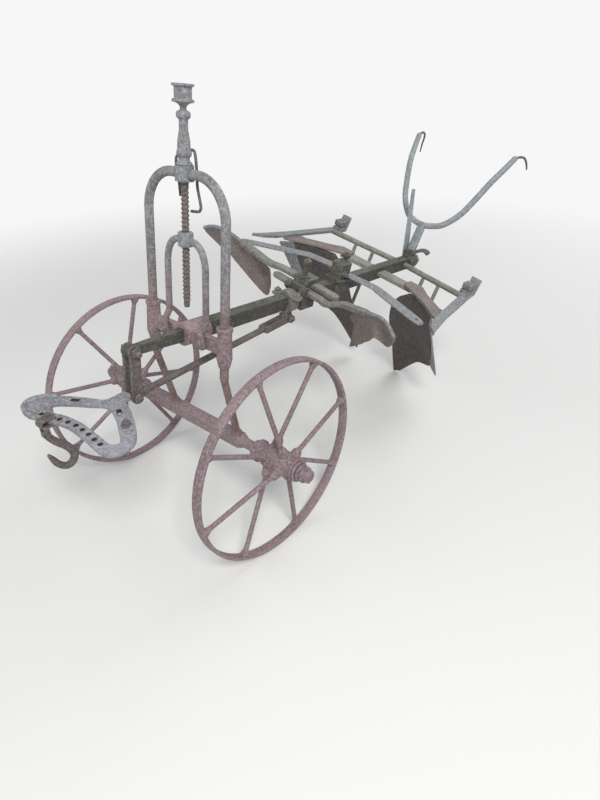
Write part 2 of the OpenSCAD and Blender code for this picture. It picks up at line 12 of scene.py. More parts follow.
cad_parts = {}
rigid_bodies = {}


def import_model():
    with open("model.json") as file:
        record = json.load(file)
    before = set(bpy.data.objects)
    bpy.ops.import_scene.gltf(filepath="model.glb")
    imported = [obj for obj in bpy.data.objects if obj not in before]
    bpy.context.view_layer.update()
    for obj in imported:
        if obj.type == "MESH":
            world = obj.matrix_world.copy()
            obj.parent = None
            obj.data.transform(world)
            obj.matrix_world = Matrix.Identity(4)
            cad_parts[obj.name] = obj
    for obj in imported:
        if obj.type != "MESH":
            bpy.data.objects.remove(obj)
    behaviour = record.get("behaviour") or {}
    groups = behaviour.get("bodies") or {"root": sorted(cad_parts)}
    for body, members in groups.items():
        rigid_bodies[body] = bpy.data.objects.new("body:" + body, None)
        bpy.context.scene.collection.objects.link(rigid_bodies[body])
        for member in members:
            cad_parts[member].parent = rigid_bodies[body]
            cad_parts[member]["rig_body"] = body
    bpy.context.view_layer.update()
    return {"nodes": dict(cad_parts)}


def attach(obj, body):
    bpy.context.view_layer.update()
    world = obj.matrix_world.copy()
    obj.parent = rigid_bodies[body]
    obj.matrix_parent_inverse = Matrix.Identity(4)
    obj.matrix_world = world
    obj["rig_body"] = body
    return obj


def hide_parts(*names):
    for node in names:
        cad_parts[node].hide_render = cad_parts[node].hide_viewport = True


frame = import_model()

# Sizes repeated from the part's source

AXLE_X, BEAM_Y, BEAM_Z = 0.5738, 0.045, 0.667
WHEEL_R, TYRE_W, TYRE_T, STUB_D = 0.330, 0.030, 0.012, 0.0341
WHEEL_Y = {"left": 0.382, "right": -0.382}
SPOKE_TURN = {"left": 12, "right": 30}
ARCH_X, ARCH_TOP, ARCH_LEAN = 0.024, 0.456, math.radians(7.8)
BEAM_TILT, REST_ROLL = math.radians(5.6), math.radians(12)
SHARE_DEPTH, PLATE_T = 0.388, 0.008

# The frames that pieces are drawn in: over the axle, the arch's, the tilted beam's and the rolled beam's

BASE = Matrix.Translation((AXLE_X, BEAM_Y, 0))
ARCH = BASE @ Matrix.Translation((ARCH_X, 0, BEAM_Z)) @ Matrix.Rotation(-ARCH_LEAN, 4, "Y")
PITCH = BASE @ Matrix.Translation((0, 0, BEAM_Z)) @ Matrix.Rotation(-BEAM_TILT, 4, "Y")
BEAM = PITCH @ Matrix.Rotation(-REST_ROLL, 4, "X")
FLIP = Matrix.Scale(-1, 4, (0, 1, 0))
X_AXIS = Matrix.Rotation(math.pi / 2, 4, "Y")
Y_AXIS = Matrix.Rotation(-math.pi / 2, 4, "X")
X_TURN = Matrix.Rotation(math.pi, 4, "X")


def beam_side(side):
    """The beam's own frame, mirrored for the right-hand body."""
    return BEAM if side > 0 else BEAM @ FLIP


# Finishes

MIX_SHARE, MIX_UNDER, MIX_OVER, MIX_COLOUR = 0, 6, 7, 2  # the sockets of a Mix node for colours


def tone(red, green, blue):
    """A colour from 0 to 255 as the linear colour that a shader takes."""
    return tuple(((c / 255 + 0.055) / 1.055) ** 2.4 for c in (red, green, blue)) + (1.0,)


def feed(tree, socket, value):
    """Gives a socket another node's output, or a constant of its own."""
    if isinstance(value, bpy.types.NodeSocket):
        tree.links.new(value, socket)
    else:
        socket.default_value = value


def add(tree, kind, settings=None, **inputs):
    """A node of a tree, with its settings and inputs; an input is a value or another node's output."""
    made = tree.nodes.new("ShaderNode" + kind)
    for key, value in (settings or {}).items():
        setattr(made, key, value)
    for key, value in inputs.items():
        socket = made.inputs[int(key[1:])] if key[1:].isdigit() else made.inputs[key.replace("_", " ")]
        feed(tree, socket, value)
    return made


def ramp(tree, value, low, high, to_low=0.0, to_high=1.0):
    made = add(tree, "MapRange", {"interpolation_type": "SMOOTHSTEP"}, Value=value)
    for name, number in zip(("From Min", "From Max", "To Min", "To Max"), (low, high, to_low, to_high)):
        made.inputs[name].default_value = number
    return made.outputs["Result"]


def noise(tree, where, scale, detail, rough, low=None, high=None):
    """Noise at a place, spread from low to high over 0 to 1 where these are given."""
    made = add(tree, "TexNoise", Vector=where, Scale=scale, Detail=detail, Roughness=rough).outputs["Fac"]
    return made if low is None else ramp(tree, made, low, high)


def cells(tree, where, scale, low, high, edge=0.0):
    """Round cells: 1 at their middles, and edge from the distance high on."""
    made = add(tree, "TexVoronoi", Vector=where, Scale=scale, Randomness=1.0).outputs["Distance"]
    return ramp(tree, made, low, high, 1.0, edge)


def blend_colour(tree, share, under, over, how="MIX"):
    made = add(tree, "Mix", {"data_type": "RGBA", "blend_type": how})
    for number, value in ((MIX_SHARE, share), (MIX_UNDER, under), (MIX_OVER, over)):
        feed(tree, made.inputs[number], value)
    return made.outputs[MIX_COLOUR]


def maths(tree, how, a, b):
    made = add(tree, "Math", {"operation": how, "use_clamp": how != "SUBTRACT"})
    for socket, value in zip(made.inputs, (a, b)):
        feed(tree, socket, value)
    return made.outputs[0]


def times(tree, a, b):
    return maths(tree, "MULTIPLY", a, b)


def new_group(name, colours, numbers, wanted):
    """An empty shader group with its inputs and outputs by name, and its two end nodes."""
    group = bpy.data.node_groups.new(name, "ShaderNodeTree")
    sockets = [("INPUT", key, "Color") for key in colours] + [("INPUT", key, "Float") for key in numbers]
    for way, key, kind in sockets + [("OUTPUT", key, kind) for key, kind in wanted.items()]:
        group.interface.new_socket(key, in_out=way, socket_type="NodeSocket" + kind)
    return group, group.nodes.new("NodeGroupInput").outputs, group.nodes.new("NodeGroupOutput").inputs


# Noises by scale, detail, roughness and range; cells by scale, range and what is left beyond it

DRIFT, MOTTLE, FLAKE = (6, 3, 0.6, 0.36, 0.66), (105, 6, 0.68, 0.38, 0.64), (190, 4, 0.6, 0.5, 0.62)
GRAIN, SPECK_RANGE, ROUGH_RANGE = (520, 5, 0.7), (0.5, 0.68), (0.3, 0.75, 0.6, 0.92)
WARM, PIT_CELLS, PIT_FIELD = (26, 5, 0.65, 0.52, 0.7), (300, 0.0, 0.33), (42, 3, 0.6, 0.42, 0.58)
CRUST, CRUST_RANGE, CRUST_CELLS = (48, 6, 0.72), (0.9, 1.1), (170, 0.15, 0.55, 0.4)
CRUST_FINE, CRUST_KIND = (300, 4, 0.7, 0.4, 0.6), (16, 4, 0.6, 0.46, 0.58)
SPOT_CELLS, SPOT_FIELD = (120, 0.16, 0.27), (34, 3, 0.6, 0.5, 0.58)
UPWARD_RANGE, EDGE_RANGE, EDGE_WEAR = (-0.3, 1.0), (0.86, 0.99, 1.0, 0.0), (90, 5, 0.6, 0.36, 0.6)


def rusted_skin_group():
    """Old rusted iron: a slow drift of tone, fine mottling, grain, specks and pits."""
    group, given, wanted = new_group(
        "rusted_skin",
        ("Base", "Dark", "Bright", "Warm"),
        ("Scale", "Pitting"),
        {"Color": "Color", "Roughness": "Float", "Height": "Float"},
    )
    where = add(group, "TexCoord").outputs["Object"]
    where = add(group, "VectorMath", {"operation": "SCALE"}, Vector=where, Scale=given["Scale"]).outputs[0]
    grain, mottle, flake = (noise(group, where, *kind) for kind in (GRAIN, MOTTLE, FLAKE))
    pit = times(group, cells(group, where, *PIT_CELLS), noise(group, where, *PIT_FIELD))
    pit = times(group, pit, given["Pitting"])
    colour, height = given["Base"], times(group, grain, 0.5)
    for mask, share, over in (
        (noise(group, where, *DRIFT), 0.5, "Dark"),
        (mottle, 0.6, "Bright"),
        (noise(group, where, *WARM), 0.35, "Warm"),
        (flake, 0.6, "Dark"),
        (ramp(group, grain, *SPECK_RANGE), 0.5, "Bright"),
    ):
        colour = blend_colour(group, times(group, mask, share), colour, given[over])
    colour = blend_colour(group, times(group, pit, 0.7), colour, given["Dark"], "MULTIPLY")
    for mask, share, how in ((mottle, 0.3, "ADD"), (flake, 0.15, "ADD"), (pit, 0.5, "SUBTRACT")):
        height = maths(group, how, height, times(group, mask, share))
    group.links.new(colour, wanted["Color"])
    group.links.new(ramp(group, grain, *ROUGH_RANGE), wanted["Roughness"])
    group.links.new(height, wanted["Height"])
    return group


def lichen_crust_group():
    """Pale lichen and green moss that settle on upper faces and in small scabs."""
    group, given, wanted = new_group(
        "lichen_crust",
        ("Under", "Lichen", "Moss"),
        ("Amount", "Upward", "Height"),
        {"Color": "Color", "Height": "Float"},
    )
    where = add(group, "TexCoord").outputs["Object"]
    up = add(group, "SeparateXYZ", Vector=add(group, "NewGeometry").outputs["Normal"]).outputs["Z"]
    up = times(group, ramp(group, up, *UPWARD_RANGE), given["Upward"])
    patch = maths(group, "ADD", noise(group, where, *CRUST), up)
    mask = ramp(group, maths(group, "ADD", patch, given["Amount"]), *CRUST_RANGE)
    mask = times(group, mask, cells(group, where, *CRUST_CELLS))
    mask = times(group, mask, maths(group, "ADD", noise(group, where, *CRUST_FINE), 0.4))
    crust = blend_colour(group, noise(group, where, *CRUST_KIND), given["Lichen"], given["Moss"])
    spot = times(group, cells(group, where, *SPOT_CELLS), noise(group, where, *SPOT_FIELD))
    crust = blend_colour(group, spot, crust, given["Lichen"])
    mask = maths(group, "MAXIMUM", mask, times(group, spot, 0.8))
    group.links.new(blend_colour(group, mask, given["Under"], crust), wanted["Color"])
    group.links.new(maths(group, "ADD", given["Height"], times(group, mask, 0.5)), wanted["Height"])
    return group


def rubbed_edge_group():
    """Edges softened for the light, with the brighter metal that handling and soil leave along them."""
    group, given, wanted = new_group(
        "rubbed_edge",
        ("Color", "Bare"),
        ("Radius", "Wear"),
        {"Color": "Color", "Normal": "Vector"},
    )
    soft = add(group, "Bevel", {"samples": 4}, Radius=given["Radius"]).outputs[0]
    flat = add(group, "NewGeometry").outputs["Normal"]
    turn = add(group, "VectorMath", {"operation": "DOT_PRODUCT"}, _0=soft, _1=flat).outputs["Value"]
    where = add(group, "TexCoord").outputs["Object"]
    edge = times(group, ramp(group, turn, *EDGE_RANGE), noise(group, where, *EDGE_WEAR))
    edge = times(group, edge, given["Wear"])
    group.links.new(blend_colour(group, edge, given["Color"], given["Bare"]), wanted["Color"])
    group.links.new(soft, wanted["Normal"])
    return group


RUSTED_SKIN = rusted_skin_group()
LICHEN_CRUST = lichen_crust_group()
RUBBED_EDGE = rubbed_edge_group()


def put_group(tree, group, **inputs):
    made = tree.nodes.new("ShaderNodeGroup")
    made.node_tree = group
    for key, value in inputs.items():
        feed(tree, made.inputs[key], value)
    return made


LICHEN, MOSS, LOW_BRIGHT = (150, 158, 150), (92, 104, 74), (156, 135, 135)
LEG_Z, SHOULDER_Z = 0.6, 1.0
METALLIC, BUMP_STRENGTH, BUMP_DEPTH, EDGE_RADIUS = 0.2, 0.6, 0.0012, 0.003
COATS, SLOTS = {}, {}


def add_coat(
    key, slot, name, base, dark, bright, warm, bare, amount, upward,
    lichen=LICHEN, moss=MOSS, metallic=METALLIC, scale=1.0, pitting=0.7, wear=0.6, low=None,
):
    """One finish of the plough's iron; low is its tone near the ground, where there is one."""
    made = bpy.data.materials.new(name)
    made.use_nodes = True
    tree = made.node_tree
    shader = tree.nodes["Principled BSDF"]
    base, bright = tone(*base), tone(*bright)
    if low:
        height = add(tree, "SeparateXYZ", Vector=add(tree, "TexCoord").outputs["Object"]).outputs["Z"]
        share = ramp(tree, height, LEG_Z, SHOULDER_Z)
        base = blend_colour(tree, share, tone(*low), base)
        bright = blend_colour(tree, share, tone(*LOW_BRIGHT), bright)
        amount = times(tree, ramp(tree, height, LEG_Z, SHOULDER_Z, 0.3, 1.0), amount)
    rust = put_group(
        tree, RUSTED_SKIN, Base=base, Dark=tone(*dark), Bright=bright, Warm=tone(*warm),
        Scale=scale, Pitting=pitting,
    ).outputs
    worn = put_group(
        tree, RUBBED_EDGE, Color=rust["Color"], Bare=tone(*bare), Radius=EDGE_RADIUS, Wear=wear
    ).outputs
    crust = put_group(
        tree, LICHEN_CRUST, Under=worn["Color"], Lichen=tone(*lichen), Moss=tone(*moss),
        Amount=amount, Upward=upward, Height=rust["Height"],
    ).outputs
    lift = add(
        tree, "Bump", Strength=BUMP_STRENGTH, Distance=BUMP_DEPTH,
        Height=crust["Height"], Normal=worn["Normal"],
    )
    tree.links.new(crust["Color"], shader.inputs["Base Color"])
    tree.links.new(rust["Roughness"], shader.inputs["Roughness"])
    tree.links.new(lift.outputs["Normal"], shader.inputs["Normal"])
    shader.inputs["Metallic"].default_value = metallic
    COATS[key], SLOTS[key] = made, slot


# Each finish: its key, slot and name; its base, dark, bright, warm and rubbed tones from 0 to 255, how much
# lichen it has and how much more on upper faces; and where it differs from the others

FINISHES = [
    ("rust", "rusty_iron", "rusted_iron",
        (132, 113, 115), (86, 70, 69), (170, 153, 161), (128, 92, 80), (204, 194, 204),
        0.13, 0.14, {"pitting": 0.9}),
    # painted shade for the holes and slots: a near-black rust for their linings
    ("hole_shade", "rusty_iron", "rust_with_painted_hole_shade",
        (62, 54, 52), (40, 34, 32), (84, 74, 72), (80, 58, 46), (90, 82, 80),
        0.05, 0.0, {}),
    ("dim", "rusty_iron", "dull_rusted_iron",
        (94, 86, 84), (56, 48, 46), (130, 123, 122), (104, 78, 66), (166, 158, 158),
        0.24, 0.16, {"pitting": 0.9}),
    ("arch", "lichen_iron", "lichened_iron",
        (120, 121, 122), (74, 70, 68), (172, 174, 182), (124, 98, 88), (190, 192, 200),
        0.38, 0.2, {"low": (123, 99, 95)}),
    ("arm", "lichen_iron", "lichened_arm_iron",
        (114, 110, 105), (70, 64, 60), (160, 157, 152), (112, 90, 78), (180, 178, 174),
        0.36, 0.26, {}),
    ("beam", "lichen_iron", "mossy_beam_iron",
        (64, 61, 56), (37, 35, 32), (100, 99, 92), (76, 58, 46), (128, 127, 118),
        0.38, 0.3, {"lichen": (140, 146, 132), "moss": (78, 88, 60)}),
    ("mossy", "lichen_iron", "mossy_crusted_iron",
        (72, 68, 62), (44, 40, 37), (110, 108, 101), (90, 68, 56), (146, 146, 138),
        0.4, 0.32, {"lichen": (148, 157, 140), "moss": (92, 106, 74)}),
    ("crust", "lichen_iron", "pale_lichen_crust",
        (120, 122, 112), (82, 82, 74), (158, 162, 152), (110, 94, 80), (172, 176, 168),
        0.42, 0.26, {"lichen": (164, 172, 160), "moss": (108, 120, 92)}),
    ("loop", "grey_iron", "dark_grey_forged_iron",
        (136, 135, 143), (82, 79, 82), (182, 184, 196), (110, 90, 82), (184, 186, 194),
        0.3, 0.16, {}),
    ("grey", "grey_iron", "grey_weathered_iron",
        (146, 151, 156), (108, 110, 110), (176, 184, 192), (112, 100, 90), (188, 192, 196),
        0.36, 0.2, {"lichen": (158, 168, 158), "moss": (98, 112, 84), "scale": 0.9}),
    ("pale", "grey_iron", "pale_scoured_iron",
        (124, 126, 129), (84, 81, 81), (166, 170, 176), (124, 106, 98), (196, 198, 206),
        0.28, 0.16, {"scale": 0.9}),
    ("plate", "brown_plate", "brown_plough_steel",
        (126, 115, 109), (74, 63, 59), (150, 141, 139), (104, 78, 66), (160, 152, 154),
        0.22, 0.16, {"scale": 1.1}),
    ("board", "dark_plate", "dark_moldboard_steel",
        (80, 74, 71), (50, 44, 41), (114, 106, 106), (92, 70, 58), (140, 134, 132),
        0.16, 0.1,
        {"lichen": (104, 108, 92), "moss": (72, 80, 54), "metallic": 0.3, "scale": 0.8, "wear": 0.8}),
]
for row in FINISHES:
    add_coat(*row[:-1], **row[-1])

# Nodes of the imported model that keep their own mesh, by their finish

KEPT_NODES = {
    "rust": ["saddle"],
    "dim": ["draw_rod", "front_links"],
    "arch": ["arch"],
    "arm": ["swivel_collar"],
    "beam": ["beam", "forward_arm"],
    "mossy": ["skim_clamp", "coulter_clamp", "handle_swivel"],
    "crust": ["front_standard", "rear_standard"],
    "grey": ["release_lever"],
    "pale": ["landside_left", "landside_right", "share_left", "share_right"],
    "plate": ["frog_left", "frog_right"],
}
for key, nodes in KEPT_NODES.items():
    for node in nodes:
        mesh = frame["nodes"][node].data
        mesh.materials.clear()
        mesh.materials.append(COATS[key])


# Workshop helpers

DOUBLES = 0.00002


def mm(*point):
    return Vector(point) / 1000


def at(*point):
    return Matrix.Translation(mm(*point))


def spun(angle):
    return Matrix.Rotation(angle, 4, "Z")


def fresh():
    """Leaves nothing selected, in object mode."""
    if bpy.context.object and bpy.context.object.mode != "OBJECT":
        bpy.ops.object.mode_set(mode="OBJECT")
    bpy.ops.object.select_all(action="DESELECT")


def take(piece):
    """Leaves only this piece selected and active."""
    fresh()
    piece.select_set(True)
    bpy.context.view_layer.objects.active = piece


def edit(piece):
    """Opens a piece in edit mode with all of it selected."""
    take(piece)
    bpy.ops.object.mode_set(mode="EDIT")
    bpy.ops.mesh.select_all(action="SELECT")


def choose(piece, wanted):
    """Selects the points of a piece in edit mode for which wanted holds."""
    made = bmesh.from_edit_mesh(piece.data)
    bpy.ops.mesh.select_mode(type="VERT")
    bpy.ops.mesh.select_all(action="DESELECT")
    for point in made.verts:
        point.select_set(wanted(point))
    made.select_flush_mode()
    bmesh.update_edit_mesh(piece.data)


def tidy(piece):
    """Merges doubles, closes open ends and turns the faces outwards."""
    edit(piece)
    bpy.ops.mesh.remove_doubles(threshold=DOUBLES)
    bpy.ops.mesh.dissolve_degenerate(threshold=DOUBLES)
    bpy.ops.mesh.select_all(action="SELECT")
    bpy.ops.mesh.fill_holes(sides=0)
    bpy.ops.mesh.select_all(action="SELECT")
    bpy.ops.mesh.normals_make_consistent(inside=False)
    fresh()
    return piece


def settle(piece, where):
    """Puts a piece where it goes and leaves its object at the origin."""
    fresh()
    piece.data.transform(where @ piece.matrix_world)
    piece.matrix_world = Matrix.Identity(4)
    if where.determinant() < 0:
        piece.data.flip_normals()
    return piece


def keep(piece, name, coat, node, instead=(), smooth=38):
    """Names and finishes a piece and gives it to the body of a node; instead are the nodes it stands for."""
    take(piece)
    piece.name = piece.data.name = name
    piece.data.materials.clear()
    piece.data.materials.append(COATS[coat])
    bpy.ops.object.shade_smooth_by_angle(angle=math.radians(smooth))
    if instead:
        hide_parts(*instead)
    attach(piece, frame["nodes"][node]["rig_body"])
    return piece


def twin(piece, where):
    """A copy of a piece, with its own mesh, at a further place."""
    made = piece.copy()
    made.data = piece.data.copy()
    bpy.context.scene.collection.objects.link(made)
    return settle(made, where)


def copies(piece, places):
    """Copies of a piece at each of its places, joined to one; the first one goes."""
    made = [twin(piece, where) for where in places]
    bpy.data.objects.remove(piece)
    return joined(made)


def joined(pieces):
    fresh()
    for piece in pieces:
        piece.select_set(True)
    bpy.context.view_layer.objects.active = pieces[0]
    bpy.ops.object.join()
    return bpy.context.view_layer.objects.active


def apply(piece, *names):
    take(piece)
    for name in names:
        bpy.ops.object.modifier_apply(modifier=name)
    return piece


def eased_edges(piece, width, angle=40, segments=2):
    """Rounds a piece's sharp edges by a width in metres."""
    edge = piece.modifiers.new("edge", "BEVEL")
    edge.width, edge.segments = width, segments
    edge.limit_method, edge.angle_limit = "ANGLE", math.radians(angle)
    return apply(piece, "edge")


def cut(piece, tools):
    """Takes the tools' shapes out of a piece."""
    for tool in tools:
        hole = piece.modifiers.new("hole", "BOOLEAN")
        hole.operation, hole.solver, hole.object = "DIFFERENCE", "EXACT", tool
        apply(piece, "hole")
        bpy.data.objects.remove(tool)
    return piece


def turned(profile, steps=32):
    """A piece turned round Z from a closed outline of radius and height, in metres."""
    fresh()
    bpy.ops.mesh.primitive_circle_add(vertices=len(profile), radius=0.01, fill_type="NOTHING")
    piece = bpy.context.object
    for point, (radius, height) in zip(piece.data.vertices, profile):
        point.co = (radius, 0, height)
    edit(piece)
    bpy.ops.mesh.spin(steps=steps, angle=2 * math.pi, center=(0, 0, 0), axis=(0, 0, 1))
    return tidy(piece)


def metres(rows):
    return [(r / 1000, h / 1000) for r, h in rows]


def lathe(rows, steps=32):
    """A solid piece turned round Z from rows of radius and height, in millimetres."""
    rows = metres(rows)
    return turned([(0, rows[0][1])] + rows + [(0, rows[-1][1])], steps)


def disc(radius, low, high, ease_in, ease_up, steps=28):
    """A pin or ring between two heights with eased ends, in millimetres."""
    ease = radius - ease_in
    return lathe([(ease, low), (radius, low + ease_up), (radius, high - ease_up), (ease, high)], steps)


def block(size, centre=(0, 0, 0), rounding=0.0012):
    """A forged block with rounded edges, its sizes in millimetres and the rounding in metres."""
    fresh()
    bpy.ops.mesh.primitive_cube_add(size=1, location=(0, 0, 0))
    piece = bpy.context.object
    piece.data.transform(at(*centre) @ Matrix.Diagonal((*mm(*size), 1)))
    return eased_edges(piece, rounding)


def along(start, end):
    """The place that puts Z along the line from start to end."""
    return Matrix.Translation(start) @ (end - start).to_track_quat("Z", "Y").to_matrix().to_4x4()


def curve(a, b, c, d, u):
    """A point at share u of the way from b to c, on a smooth line through four points."""
    return 0.5 * (
        2 * b + (c - a) * u + (2 * a - 5 * b + 4 * c - d) * u * u + (3 * b - a - 3 * c + d) * u ** 3
    )


def between(rows, t):
    """A point on a smooth line through rows, t from 0 to the last row's number."""
    last = len(rows) - 1
    i = min(int(t), last - 1)
    return curve(*(rows[max(0, min(last, j))] for j in (i - 1, i, i + 1, i + 2)), t - i)


def smooth_line(rows, steps=6):
    rows = [Vector(row) for row in rows]
    return [between(rows, i / steps) for i in range((len(rows) - 1) * steps + 1)]


# A rod's rounded end, as shares of its radius along it and across

DOME = [(0.0, 0.45), (0.1, 0.72), (0.35, 0.93)]


def drawn_rod(rows, radii, steps=6, sides=5):
    """A round bar with rounded ends on a smooth line, in millimetres, of one radius or one for each row."""
    line = smooth_line(rows, steps)
    radii = radii if isinstance(radii, (list, tuple)) else [radii] * len(rows)
    size = [between(radii, i / steps) for i in range(len(line))]
    for end, inwards in ((0, 1), (-1, -2)):
        r, way = size[end], (line[inwards] - line[end]).normalized()
        dome = [(line[end] + way * r * share, r * wide) for share, wide in DOME][:: 1 if end == 0 else -1]
        where = slice(0, 1) if end == 0 else slice(-1, None)
        line[where], size[where] = [p for p, wide in dome], [wide for p, wide in dome]
    fresh()
    bpy.ops.curve.primitive_nurbs_path_add()
    rod = bpy.context.object
    data = rod.data
    data.splines.remove(data.splines[0])
    spline = data.splines.new("POLY")
    spline.points.add(len(line) - 1)
    for point, place, wide in zip(spline.points, line, size):
        point.co = (*(place / 1000), 1)
        point.radius = wide
    data.dimensions, data.twist_mode = "3D", "MINIMUM"
    data.bevel_depth, data.bevel_resolution, data.use_fill_caps = 0.001, sides, True
    bpy.ops.object.convert(target="MESH")
    return tidy(bpy.context.object)


def worn(width, thick, corner=2.0):
    """The cross-section of a flat bar with worn corners."""
    x, y, c = width / 2, thick / 2, corner
    upper = [(x, y - c), (x - c, y), (c - x, y), (-x, y - c)]
    return upper + [(-a, -b) for a, b in upper]


def forged(outline, line, side, scale=None):
    """A bar of one cross-section extruded along a line in millimetres; side keeps its X direction."""
    side = Vector(side)
    last = len(line) - 1
    sections = []
    for i, point in enumerate(line):
        ahead = (line[min(i + 1, last)] - line[max(i - 1, 0)]).normalized()
        across = (side - ahead * ahead.dot(side)).normalized()
        rise = ahead.cross(across)
        gx, gy = scale[i] if scale else (1, 1)
        sections.append([(point + across * x * gx + rise * y * gy) / 1000 for x, y in outline])
    fresh()
    bpy.ops.mesh.primitive_circle_add(vertices=len(outline), radius=0.01, fill_type="NGON")
    piece = bpy.context.object
    for vertex, place in zip(piece.data.vertices, sections[0]):
        vertex.co = place
    edit(piece)
    for old, new in zip(sections, sections[1:]):
        bpy.ops.mesh.extrude_region()
        made = bmesh.from_edit_mesh(piece.data)
        for vertex in [v for v in made.verts if v.select]:
            nearest = min(range(len(old)), key=lambda k: (vertex.co - old[k]).length_squared)
            vertex.co = new[nearest]
        bmesh.update_edit_mesh(piece.data)
    return tidy(piece)


def round_closed(rows, steps=5):
    """A smooth closed outline through points."""
    rows = [Vector(row) for row in rows]
    n = len(rows)
    made = []
    for i in range(n):
        near = [rows[(i + j) % n] for j in (-1, 0, 1, 2)]
        made += [curve(*near, k / steps) for k in range(steps)]
    return made


def sawn_plate(outline, low, high):
    """A flat plate of an outline of X and Y, between two heights, in millimetres."""
    fresh()
    bpy.ops.mesh.primitive_circle_add(vertices=len(outline), radius=0.01, fill_type="NGON")
    piece = bpy.context.object
    for vertex, (x, y) in zip(piece.data.vertices, outline):
        vertex.co = mm(x, y, low)
    edit(piece)
    bpy.ops.mesh.extrude_region()
    made = bmesh.from_edit_mesh(piece.data)
    for vertex in [v for v in made.verts if v.select]:
        vertex.co.z = high / 1000
    bmesh.update_edit_mesh(piece.data)
    return tidy(piece)


def pressed_plate(sections, thick, back, nu, nv):
    """A plate through sections of an inner point, an outer point and a hollow, with thick metres behind."""
    inner, outer, hollow = ([Vector(s[k]) for s in sections] for k in range(3))
    fresh()
    bpy.ops.mesh.primitive_grid_add(x_subdivisions=nu, y_subdivisions=nv, size=2)
    plate = bpy.context.object
    for point in plate.data.vertices:
        t = (point.co.x + 1) / 2 * (len(sections) - 1)
        v = (point.co.y + 1) / 2
        a, b, h = between(inner, t), between(outer, t), between(hollow, t)
        point.co = (a + (b - a) * v + h * math.sin(math.pi * v)) / 1000
    edit(plate)
    bpy.ops.mesh.normals_make_consistent(inside=False)
    fresh()
    middle = plate.data.polygons[len(plate.data.polygons) // 2].normal
    wall = plate.modifiers.new("wall", "SOLIDIFY")
    wall.thickness = thick
    wall.offset = 1 if middle.dot(Vector(back)) > 0 else -1
    apply(plate, "wall")
    return eased_edges(plate, 0.0014, 50)


WASHER_T, NUT_EASE, STUB_PITCH = 3.0, 0.00006, 1.6


def nut(flats, height, sides=6, stub=0.0, stub_d=0.0, washer=0.0):
    """A nut or bolt head on Z 0, in millimetres, on a washer and with a stub of thread through it."""
    base = WASHER_T if washer else 0.0
    fresh()
    bpy.ops.mesh.primitive_cylinder_add(
        vertices=sides, radius=flats / 2 / math.cos(math.pi / sides) / 1000, depth=height / 1000,
        location=mm(0, 0, base + height / 2),
    )
    head = bpy.context.object
    settle(head, spun(math.pi / sides))
    eased_edges(head, flats * NUT_EASE, 30)
    made = [head]
    if washer:
        r = washer / 2
        made.append(lathe([(r - 0.6, 0), (r, 0.6), (r, 2.4), (r - 0.8, WASHER_T)], 28))
    if stub:
        r, rows, z = stub_d / 2, [], base + height - 1
        while z < base + height + stub - 2.2:
            rows += [(r - 0.7, z), (r, z + 0.6), (r, z + 0.9)]
            z += STUB_PITCH
        rows += [(r - 0.9, z), (r - 0.9, z + 0.8), (r - 2.4, z + 1.8)]
        made.append(lathe(rows, 20))
    return joined(made)


# Wheels: worn flat tyres, round spokes with riveted feet, and turned hubs

SPOKES, SPOKE_LEN, SPOKE_FOOT_Y, SPOKE_FOOT_Z = 8, 0.320, 0.030, 0.020
TYRE_EDGE = (0.003, 0.002)
BARREL = [
    (0.034, -0.085), (0.037, -0.082), (0.037, -0.073), (0.032, -0.069), (0.031, -0.050), (0.036, -0.046),
    (0.040, -0.030), (0.041, 0.0), (0.040, 0.030), (0.036, 0.046), (0.032, 0.052), (0.031, 0.064),
    (0.035, 0.067), (0.036, 0.070), (0.035, 0.074), (0.0275, 0.0755), (0.0275, 0.0785), (0.033, 0.080),
    (0.034, 0.083), (0.032, 0.085),
]
SPOKE = [
    (14.5, 16), (17, 20), (17.2, 34), (16, 46), (15.4, 50), (16.2, 53), (14, 60), (9.4, 66), (8.2, 72),
    (7.8, 150), (7.6, 290), (8.4, 300), (11.5, 307), (14, 312.5), (14.4, 317), (13, 320),
]


def wheel(side):
    out = 1 if side == "left" else -1
    centre = Matrix.Translation((AXLE_X, WHEEL_Y[side], WHEEL_R))
    half, inner = TYRE_W / 2, WHEEL_R - TYRE_T
    drop, ease = TYRE_EDGE
    rim = [(WHEEL_R, half - drop), (WHEEL_R - ease, half), (inner + ease, half), (inner, half - drop)]
    rim += [(r, -h) for r, h in reversed(rim)]
    tyre = settle(turned(rim, 144), centre @ Y_AXIS)
    keep(tyre, "worn_tyre_" + side, "rust", "tyre_" + side, ["tyre_" + side])

    bore = STUB_D / 2
    barrel = [(bore, BARREL[0][1])] + BARREL + [(bore, BARREL[-1][1])]
    hub = settle(turned([(r, h * out) for r, h in barrel], 44), centre @ Y_AXIS)
    places = []
    for i in range(SPOKES):
        spin = Matrix.Rotation(math.radians(i * 360 / SPOKES + SPOKE_TURN[side]), 4, "Y")
        foot = Vector((0, SPOKE_FOOT_Y * (1 if i % 2 == 0 else -1), SPOKE_FOOT_Z))
        tip = Vector((0, 0, inner + ease))
        start = tip - (tip - foot).normalized() * SPOKE_LEN
        places.append(centre @ spin @ along(start, tip))
    spokes = copies(lathe(SPOKE, 16), places)
    keep(joined([hub, spokes]), "hub_and_spokes_" + side, "rust", "hub_" + side, ["hub_" + side])


for side in WHEEL_Y:
    wheel(side)

# Axle: a square forged bar with round ends, double rings and linch pins

